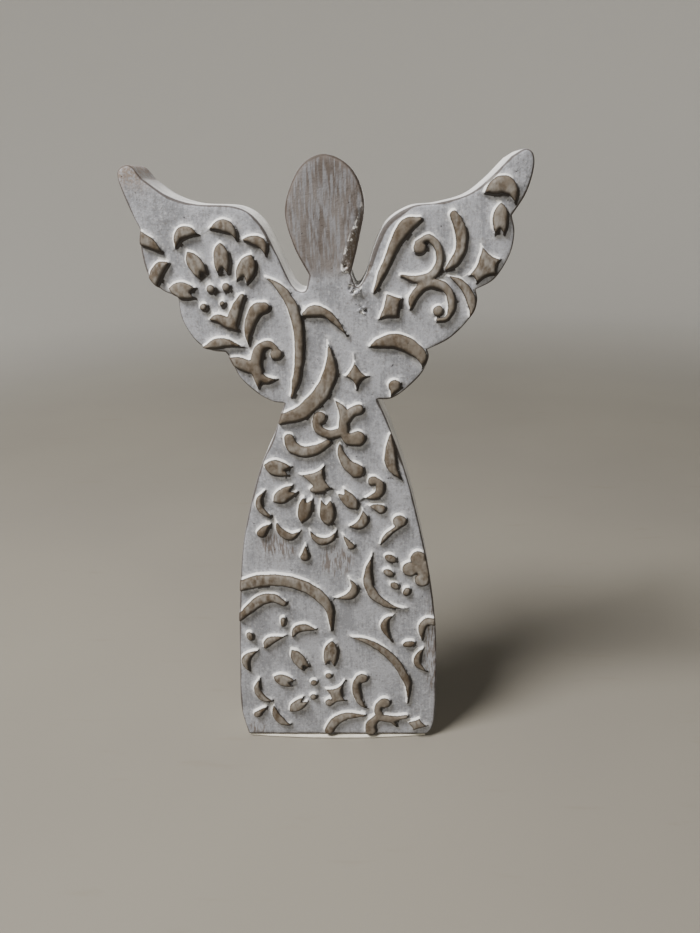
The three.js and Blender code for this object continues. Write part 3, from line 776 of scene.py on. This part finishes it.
def pad():
    loop = pad_loop()
    count = len(loop)
    bottom, top = pad_low.z / MM, pad_high.z / MM
    levels = ((bottom, PAD_ROUND), (bottom + PAD_ROUND, 0), (top - PAD_ROUND, 0), (top, PAD_ROUND))
    rings = []
    for level, (z, inset) in enumerate(levels):
        waver = PAD_WANDER * np.abs(lumps(loop, PAD_WANDER_SIZE, level))
        flat = loop - outward(loop) * (inset + waver)[:, None]
        rings.append(np.column_stack([flat, np.full(count, z)]))
    cap_points, cap_triangles = triangulated(loop, fill_points(loop, PAD_STEP * 2))
    inner = cap_points[count:]
    blocks = rings + [np.column_stack([inner, np.full(len(inner), z)]) for z in (bottom, top)]
    faces = []
    for level in range(len(rings) - 1):
        faces += bridge(level * count, (level + 1) * count, count)
    last_ring = (len(rings) - 1) * count
    bottom_inner = len(rings) * count
    top_inner = bottom_inner + len(inner)
    for triangle in cap_triangles:
        faces.append(tuple(i if i < count else bottom_inner + i - count for i in reversed(triangle)))
        faces.append(tuple(last_ring + i if i < count else top_inner + i - count for i in triangle))
    return mesh_piece("foam_pad", np.vstack(blocks), faces)


# ---- materials ----
def srgb(red, green, blue):
    """A colour given as 0 to 255 on screen, as the linear values that Blender uses."""
    channels = [value / 255 for value in (red, green, blue)]
    return tuple(c / 12.92 if c <= 0.04045 else ((c + 0.055) / 1.055) ** 2.4 for c in channels) + (1.0,)


class Graph:
    """A material's nodes, with short ways to add the ones used here. Lengths are in millimetres."""

    def __init__(self, name):
        self.material = bpy.data.materials.new(name)
        self.material.use_nodes = True
        self.tree = self.material.node_tree
        self.shader = self.tree.nodes["Principled BSDF"]
        metres = self.add("ShaderNodeTexCoord").outputs["Object"]
        scale = {0: metres, "Scale": 1 / MM}
        self.place = self.add("ShaderNodeVectorMath", scale, operation="SCALE").outputs[0]

    def feed(self, node, inputs):
        """Puts values, or what other nodes give, into a node's inputs, by name or number."""
        for key, value in inputs.items():
            if isinstance(value, bpy.types.NodeSocket):
                self.tree.links.new(value, node.inputs[key])
            else:
                node.inputs[key].default_value = value

    def add(self, kind, inputs=None, **settings):
        node = self.tree.nodes.new(kind)
        for name, value in settings.items():
            setattr(node, name, value)
        self.feed(node, inputs or {})
        return node

    def math(self, operation, first, second, clamp=False):
        inputs = {0: first, 1: second}
        return self.add("ShaderNodeMath", inputs, operation=operation, use_clamp=clamp).outputs[0]

    def fold(self, operation, values, clamp=False):
        """One value out of several, by an operation on two."""
        return reduce(lambda first, second: self.math(operation, first, second, clamp), values)

    def both(self, *shares):
        """The product of several shares."""
        return self.fold("MULTIPLY", shares, clamp=True)

    def total(self, *terms):
        """The sum of (value, weight) terms."""
        return self.fold("ADD", [self.math("MULTIPLY", value, weight) for value, weight in terms])

    def shaken(self, value, noise_value, amount):
        """The value, moved up and down by a noise, by half the amount at most."""
        return self.total((value, 1.0), (self.math("SUBTRACT", noise_value, 0.5), amount))

    def flip(self, share):
        return self.math("SUBTRACT", 1.0, share, clamp=True)

    def ramp(self, value, low, high):
        """0 below low, 1 above high, and smooth between; low may be the greater."""
        inputs = {"Value": value, "From Min": low, "From Max": high}
        return self.add("ShaderNodeMapRange", inputs, interpolation_type="SMOOTHSTEP").outputs["Result"]

    def mix(self, share, first, second):
        inputs = {"Factor": share, "A": first, "B": second}
        return self.add("ShaderNodeMix", inputs, data_type="RGBA").outputs["Result"]

    def lay(self, colour, paint, *shares):
        """The colour with a paint over it, as thick as the product of the shares."""
        return self.mix(self.both(*shares), colour, paint)

    def field(self, name):
        return self.add("ShaderNodeAttribute", attribute_name=name).outputs["Fac"]

    def noise(self, size, detail=4.0, shift=0.0):
        """Noise between 0 and 1 with features of a size, or of three sizes along x, y and z."""
        sizes = size if isinstance(size, tuple) else (size, size, size)
        scale = tuple(1 / s for s in sizes)
        inputs = {"Vector": self.place, "Location": (shift, shift, shift), "Scale": scale}
        place = self.add("ShaderNodeMapping", inputs).outputs[0]
        inputs = {"Vector": place, "Scale": 1.0, "Detail": detail}
        return self.add("ShaderNodeTexNoise", inputs).outputs["Fac"]

    def facing(self, x, y, z):
        """How squarely the surface faces a direction, from -1 to 1, by the object's own normal."""
        normal = self.add("ShaderNodeTexCoord").outputs["Normal"]
        inputs = {0: normal, 1: Vector((x, y, z)).normalized()}
        return self.add("ShaderNodeVectorMath", inputs, operation="DOT_PRODUCT").outputs["Value"]

    def axis(self, letter):
        return self.add("ShaderNodeSeparateXYZ", {0: self.place}).outputs[letter]

    def spot(self, x, z, half_width, half_height):
        """1 at the middle of an upright oval patch, fading to 0 at its edge."""
        across = self.math("DIVIDE", self.math("SUBTRACT", self.axis("X"), x), half_width)
        up = self.math("DIVIDE", self.math("SUBTRACT", self.axis("Z"), z), half_height)
        return self.ramp(self.total((across, across), (up, up)), 1.0, 0.2)

    def spots(self, patches):
        """The strongest of several spots."""
        return self.fold("MAXIMUM", [self.spot(*patch) for patch in patches])

    def bump(self, height, distance_mm, under=None):
        inputs = {"Height": height, "Strength": 1.0, "Distance": distance_mm * MM}
        if under is not None:
            inputs["Normal"] = under
        return self.add("ShaderNodeBump", inputs).outputs["Normal"]


WASH_PALE = srgb(180, 182, 189)
WASH_DULL = srgb(148, 150, 156)
COAT_PALE = srgb(208, 208, 209)
# Thick white paint, and also the painted highlight on the walls that face the key lamp
THICK_WHITE_AND_HIGHLIGHT = srgb(244, 243, 240)
TAUPE = srgb(90, 76, 59)
# Dark taupe: resin in pits and grime, and also the painted shade on walls and flanks that face away from the
# key lamp
TAUPE_DARK = srgb(46, 39, 32)
TAUPE_GREY = srgb(122, 112, 99)
TOP_PAINT = srgb(156, 151, 144)
WORN_BROWN = srgb(112, 99, 89)
TIP_BROWN = srgb(138, 122, 108)
HEAD_BROWN = srgb(98, 88, 81)
HEAD_GREY = srgb(122, 115, 111)
EDGE_DARK = srgb(70, 60, 52)

# Places where the whitewash is rubbed through, as (x, z, half width, half height).
WORN_PATCHES = [
    (-19, 79, 9, 7),
    (0, 73, 7, 8),
    (33, 42, 4, 28),
    (3, 198, 9, 4),
    (-31, 4, 4, 4),
]

# Where the tops of the pattern kept much of their paint, in the same terms.
PAINTED_TOPS = [
    (-40, 170, 20, 22),
    (-16, 25, 22, 22),
    (40, 172, 18, 24),
]

# The inner edge of the right wing is rubbed more widely than the rest, in the same terms.
RUBBED_EDGE = (18, 177, 11, 14)

# Where a colour starts and where it is full, in millimetres.
HEAD_HEIGHT = (164.0, 170.0)
HEAD_SIDES = (13.2, 12.2)
TIP_HEIGHT = (187.0, 197.0)
TIP_SIDE = (-45.0, -53.0)
# the painted shade along the joint with the pad
HEM_HEIGHT = (2.4, 1.6)
EDGE_LINE = (0.7, 0.35)

LIGHT_FROM = (-0.6, 0, 0.8)  # the key lamp's side, the upper left: the painted highlight and painted shade on the motifs follow it


def resin_fields(g):
    """The noises and shares that several coats use."""
    g.relief = g.field("relief")
    g.rim = g.field("rim")
    g.front = g.ramp(g.field("front"), 0.5, 0.9)
    g.side = g.flip(g.ramp(g.field("front"), 0.0, 0.5))
    g.fine = g.noise(0.45, 5)
    g.grit = g.noise(0.8, 3, 51.0)
    g.mottle = g.noise(1.6, 5, 2.3)
    g.brush = g.noise((0.55, 3.0, 9.0), 4, 3.1)
    g.blotch = g.noise((7.0, 7.0, 12.0), 4, 7.7)
    g.pores = g.ramp(g.noise(1.1, 2, 41.0), 0.27, 0.22)
    g.ragged = g.shaken(g.relief, g.fine, 0.22)
    # How squarely the surface faces the key lamp's side, for the painted highlight and painted shade
    g.brushed = g.facing(*LIGHT_FROM)
    tip_height = g.ramp(g.shaken(g.axis("Z"), g.blotch, 12.0), *TIP_HEIGHT)
    g.tip = g.both(tip_height, g.ramp(g.axis("X"), *TIP_SIDE))


def wash(g):
    """The whitewash: pale and dull areas, with grains of white and brown pits."""
    cover = g.total((g.brush, 0.2), (g.blotch, 0.4), (g.mottle, 0.25), (g.grit, 0.15))
    colour = g.mix(g.ramp(cover, 0.42, 0.56), WASH_DULL, WASH_PALE)
    colour = g.lay(colour, WORN_BROWN, g.ramp(g.fine, 0.5, 0.36), 0.28)
    colour = g.lay(colour, TAUPE_GREY, g.ramp(g.grit, 0.42, 0.32), 0.35)
    return g.lay(colour, THICK_WHITE_AND_HIGHLIGHT, g.ramp(g.grit, 0.58, 0.68), 0.2)


def rubbed_through(g, colour):
    """Upright strokes and whole patches where the brown shows through the wash."""
    strokes = g.ramp(g.noise((0.7, 2.0, 6.0), 5, 11.3), 0.66, 0.76)
    colour = g.lay(colour, WORN_BROWN, strokes, 0.35)
    scratches = g.ramp(g.noise((0.5, 2.0, 3.5), 6, 17.9), 0.55, 0.4)
    return g.lay(colour, WORN_BROWN, g.spots(WORN_PATCHES), scratches, 0.8)


def brown_tip(g, colour):
    """The left wing's tip, rubbed nearly bare."""
    return g.lay(colour, TIP_BROWN, g.tip, g.ramp(g.grit, 0.34, 0.56), 0.85)


def streaked_head(g, colour):
    """The head: brown, with the wash left in upright streaks, and browner round its rim."""
    streaks = g.ramp(g.noise((0.65, 3.0, 6.0), 6, 23.0), 0.43, 0.64)
    head_colour = g.mix(g.ramp(g.blotch, 0.4, 0.6), HEAD_BROWN, HEAD_GREY)
    head_colour = g.lay(head_colour, WASH_DULL, streaks, 0.68)
    browner = g.ramp(g.shaken(g.rim, g.fine, 1.6), 1.4, 0.1)
    head_colour = g.lay(head_colour, WORN_BROWN, browner, 0.75)
    across = g.ramp(g.math("ABSOLUTE", g.axis("X"), 0.0), *HEAD_SIDES)
    head = g.both(g.ramp(g.axis("Z"), *HEAD_HEIGHT), across)
    return g.lay(colour, head_colour, head, g.front, 0.95)


def slanting_edge(g, colour):
    """The slanting edge of the head: bare resin, with paint caught on the ridge above it."""
    bevel = g.both(g.ramp(g.field("bevel"), 0.0, 0.3), g.front)
    from_ridge = g.total((g.rim, 1.0), (g.field("bevel"), -HEAD_BEVEL_WIDTH))
    bare = g.both(bevel, g.ramp(from_ridge, 0.2, -0.3), g.ramp(g.fine, 0.3, 0.6), 0.8)
    colour = g.mix(bare, colour, TAUPE)
    ridge = g.ramp(g.math("ABSOLUTE", from_ridge, 0.0), 0.9, 0.4)
    caught = g.ramp(g.noise(1.2, 3, 27.0), 0.5, 0.6)
    return g.lay(colour, THICK_WHITE_AND_HIGHLIGHT, bevel, ridge, caught)


def rough_places(g, colour):
    """Grime and paint in the badly trimmed patches."""
    rough = g.both(g.field("rough"), g.front)
    grime = g.ramp(g.noise(1.0, 4, 29.0), 0.52, 0.42)
    colour = g.lay(colour, TAUPE_DARK, rough, grime, 0.8)
    return g.lay(colour, THICK_WHITE_AND_HIGHLIGHT, rough, g.ramp(g.noise(1.2, 4, 33.0), 0.54, 0.64))


def brushed_walls(g, colour):
    """Painted highlight in thick white on the motifs' walls that face the key lamp, and painted shade in
    dark taupe on those that face away; round the motifs' feet, a pale halo that is partly gathered whitewash
    and partly painted highlight.
    """
    # pale halo round the motifs' feet: partly gathered whitewash, partly painted highlight
    halo = g.both(g.ramp(g.relief, -2.0, -0.4), g.ramp(g.mottle, 0.35, 0.65), g.front)
    colour = g.lay(colour, THICK_WHITE_AND_HIGHLIGHT, halo, 0.26)
    wall = g.both(g.ramp(g.ragged, -0.5, -0.34), g.front)
    # painted highlight on the walls that face the key lamp
    colour = g.lay(colour, THICK_WHITE_AND_HIGHLIGHT, wall, g.ramp(g.brushed, 0.05, 0.32))
    # painted shade on the walls that face away from the key lamp
    return g.lay(colour, TAUPE_DARK, wall, g.ramp(g.brushed, -0.06, -0.32), 0.95)


def rubbed_and_shaded_tops(g, colour):
    """The motifs' tops, rubbed back to the resin, dark along their edges, with some paint left, and painted
    shade on the flanks that face away from the key lamp.
    """
    tone = g.total((g.blotch, 0.5), (g.mottle, 0.5))
    top = g.mix(g.ramp(tone, 0.4, 0.6), TAUPE, TAUPE_GREY)
    painted = g.ramp(g.noise(13.0, 2, 47.0), 0.42, 0.6)
    painted = g.math("MAXIMUM", painted, g.spots(PAINTED_TOPS))
    painted = g.total((painted, 0.65), (1.0, 0.25))
    dry_brush = g.both(g.ramp(g.noise((1.4, 2.0, 2.6), 4, 31.0), 0.32, 0.7), g.ramp(g.relief, 0.3, 0.9))
    top = g.lay(top, TOP_PAINT, dry_brush, painted)
    # painted shade on the flanks of the domes that face away from the key lamp
    shaded_flank = g.both(g.ramp(g.brushed, 0.02, -0.3), g.ramp(g.relief, 1.5, 0.5))
    top = g.lay(top, TAUPE_DARK, shaded_flank, 0.75)
    top = g.lay(top, TAUPE_DARK, g.ramp(g.ragged, 0.46, 0.28), 0.95)
    return g.mix(g.ramp(g.ragged, 0.1, 0.22), colour, top)


def painted_sides(g, colour):
    """Thick paint on the side faces, and soft upright strokes on the plain back."""
    strokes = g.noise((2.2, 2.2, 26.0), 4, 37.0)
    plain = g.mix(g.ramp(strokes, 0.3, 0.7), WASH_PALE, COAT_PALE)
    plain = g.lay(plain, TAUPE_GREY, g.ramp(g.grit, 0.42, 0.34), 0.2)
    thick = g.mix(g.ramp(g.blotch, 0.25, 0.6), COAT_PALE, THICK_WHITE_AND_HIGHLIGHT)
    back = g.both(g.side, g.ramp(g.facing(0, 1, 0), 0.6, 0.95))
    colour = g.lay(colour, g.mix(back, thick, plain), g.side, g.flip(g.tip))
    scratches = g.ramp(g.noise((0.7, 2.0, 12.0), 5, 43.0), 0.62, 0.72)
    colour = g.lay(colour, WORN_BROWN, g.side, scratches, 0.35)
    back_edge = g.ramp(g.shaken(g.field("back_rim"), g.blotch, 3.0), 1.0, 0.3)
    return g.lay(colour, WORN_BROWN, g.side, back_edge, 0.6)


def dark_details(g, colour):
    """Pinholes, painted shade along the lower edge where the casting meets the pad, and the thin dark line
    along the front's edge.
    """
    colour = g.lay(colour, TAUPE_DARK, g.pores, g.front, 0.7)
    # painted shade in the joint between the casting and the pad
    hem = g.ramp(g.shaken(g.axis("Z"), g.mottle, 1.2), *HEM_HEIGHT)
    colour = g.lay(colour, EDGE_DARK, hem, g.front, 0.7)
    wear = g.total((g.shaken(g.rim, g.blotch, 1.4), 1.0), (g.spot(*RUBBED_EDGE), -0.7))
    return g.lay(colour, EDGE_DARK, g.ramp(wear, *EDGE_LINE), g.front, 0.85)


def resin_surface(g):
    """A matte, uneven sheen, brush strokes, grains and pinholes."""
    sheen = g.add("ShaderNodeMapRange", {"Value": g.fine, "To Min": 0.62, "To Max": 0.85})
    normal = None
    for height, distance_mm in ((g.brush, 0.04), (g.mottle, 0.1), (g.grit, 0.09), (g.fine, 0.08),
                                (g.flip(g.pores), 0.25)):
        normal = g.bump(height, distance_mm, normal)
    g.feed(g.shader, {"Roughness": sheen.outputs["Result"], "Normal": normal})


def whitewashed_resin():
    """Taupe resin under a whitewash laid on with a brush. The coats are laid on in order, each over the
    last.
    """
    g = Graph("whitewashed_resin")
    resin_fields(g)
    colour = wash(g)
    for coat in (rubbed_through, brown_tip, streaked_head, slanting_edge, rough_places,
                 brushed_walls, rubbed_and_shaded_tops, painted_sides, dark_details):
        colour = coat(g, colour)
    g.feed(g.shader, {"Base Color": colour})
    resin_surface(g)
    return g.material


FOAM_PALE = srgb(240, 236, 224)
FOAM_DULL = srgb(222, 216, 200)
FOAM_CELL = srgb(176, 168, 148)


def pad_foam():
    """Cream closed-cell foam, a little grubby in soft patches."""
    g = Graph("pad_foam")
    cells = g.noise(0.35, 3)
    stain = g.noise(6.0, 4, 5.0)
    cream = g.mix(g.ramp(stain, 0.35, 0.65), FOAM_DULL, FOAM_PALE)
    colour = g.lay(cream, FOAM_CELL, g.ramp(cells, 0.55, 0.4), 0.3)
    g.feed(g.shader, {"Base Color": colour, "Roughness": 0.9, "Normal": g.bump(cells, 0.15)})
    return g.material


FLOOR_GREY = srgb(138, 133, 123)
FLOOR_PALE = srgb(143, 138, 127)
FLOOR_SCUFF = srgb(130, 122, 108)
WALL_PALE = srgb(204, 202, 196)
PALE_FROM = 350.0  # millimetres from the middle: the floor grows paler from here
PALE_BEYOND = 1000.0


def pale_floor():
    g = Graph("pale_floor")
    cloud = g.noise(160.0, 2)
    scuffs = g.noise((30.0, 6.0, 6.0), 5, 13.0)
    colour = g.mix(g.ramp(cloud, 0.3, 0.7), FLOOR_GREY, FLOOR_PALE)
    colour = g.lay(colour, FLOOR_SCUFF, g.ramp(scuffs, 0.62, 0.74), 0.25)
    away_squared = g.total((g.axis("X"), g.axis("X")), (g.axis("Y"), g.axis("Y")))
    wall = g.ramp(away_squared, PALE_FROM ** 2, PALE_BEYOND ** 2)
    g.feed(g.shader, {"Base Color": g.mix(wall, colour, WALL_PALE), "Roughness": 0.75})
    return g.material


# ---- stage, light and camera, in metres ----
FLOOR_RADIUS = 0.9  # the floor is a round cove: flat, then curving up into a low wall
FLOOR_MIDDLE = 0.27  # its middle is one round face
COVE_RADIUS = 0.4
COVE_TOP = 1.3
COVE_TURNS = 12
COVE_SIDES = 96

# The camera stands in front of the figure's ground plane, above the floor, and a little to the right.
CAMERA_RIGHT = 0.0141
CAMERA_BACK = 0.2244
CAMERA_UP = 0.1902
CAMERA_PITCH = math.radians(-20.32)
CAMERA_YAW = math.radians(-2.21)
CAMERA_ROLL = math.radians(-1.39)
LENS = 28.75


def floor():
    """A flat round floor that curves up into a wall on every side."""
    profile = [(FLOOR_MIDDLE, 0.0), (FLOOR_RADIUS, 0.0)]
    for step in range(1, COVE_TURNS + 1):
        angle = math.pi / 2 * step / COVE_TURNS
        profile.append((FLOOR_RADIUS + COVE_RADIUS * math.sin(angle), COVE_RADIUS * (1 - math.cos(angle))))
    profile.append((FLOOR_RADIUS + COVE_RADIUS, COVE_TOP))
    turns = [2 * math.pi * side / COVE_SIDES for side in range(COVE_SIDES)]
    points = [(r * math.cos(turn), r * math.sin(turn), height) for r, height in profile for turn in turns]
    faces = [tuple(range(COVE_SIDES))]
    for ring in range(len(profile) - 1):
        inner = ring * COVE_SIDES
        faces += [tuple(reversed(quad)) for quad in bridge(inner, inner + COVE_SIDES, COVE_SIDES)]
    piece = mesh_piece("floor", np.array(points) / MM, faces)
    piece.data.materials.append(pale_floor())
    return piece


def camera():
    direction = Vector((
        math.sin(CAMERA_YAW) * math.cos(CAMERA_PITCH),
        math.cos(CAMERA_YAW) * math.cos(CAMERA_PITCH),
        math.sin(CAMERA_PITCH),
    ))
    level = Vector((math.cos(CAMERA_YAW), -math.sin(CAMERA_YAW), 0))
    overhead = level.cross(direction)
    right = math.cos(CAMERA_ROLL) * level + math.sin(CAMERA_ROLL) * overhead
    up = right.cross(direction)
    data = bpy.data.cameras.new("camera")
    data.lens = LENS
    piece = bpy.data.objects.new("camera", data)
    turn = Matrix((right, up, -direction)).transposed().to_4x4()
    piece.matrix_world = Matrix.Translation((CAMERA_RIGHT, GROUND_Y * MM - CAMERA_BACK, CAMERA_UP)) @ turn
    bpy.context.scene.collection.objects.link(piece)
    bpy.context.scene.camera = piece


LIT_PLACE = (0, 0, 0.1)  # both lamps point at the middle of the figure
ROOM_TINT = (0.9, 0.92, 0.95, 1)
ROOM_STRENGTH = 0.04


def area_light(name, place, size, watts, colour):
    data = bpy.data.lights.new(name, "AREA")
    data.shape = "DISK"
    data.size = size
    data.energy = watts
    data.color = colour
    piece = bpy.data.objects.new(name, data)
    piece.location = place
    piece.rotation_euler = (Vector(LIT_PLACE) - Vector(place)).to_track_quat("-Z", "Y").to_euler()
    bpy.context.scene.collection.objects.link(piece)


def lights():
    area_light("key", place=(-0.46, -0.33, 0.95), size=0.36, watts=18.8, colour=(1.0, 0.98, 0.96))
    area_light("fill", place=(0.7, -0.9, 0.5), size=1.0, watts=0.3, colour=(0.96, 0.98, 1.0))
    world = bpy.data.worlds.new("soft_room")
    world.use_nodes = True
    background = world.node_tree.nodes["Background"]
    background.inputs["Color"].default_value = ROOM_TINT
    background.inputs["Strength"].default_value = ROOM_STRENGTH
    bpy.context.scene.world = world


def build():
    random.seed(SEED)
    figure = casting()
    figure.data.materials.append(whitewashed_resin())
    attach(figure, "root")
    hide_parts("resin_casting")
    foam = pad()
    foam.data.materials.append(pad_foam())
    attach(foam, "root")
    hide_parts("base_pad")
    floor()
    lights()
    camera()


build()
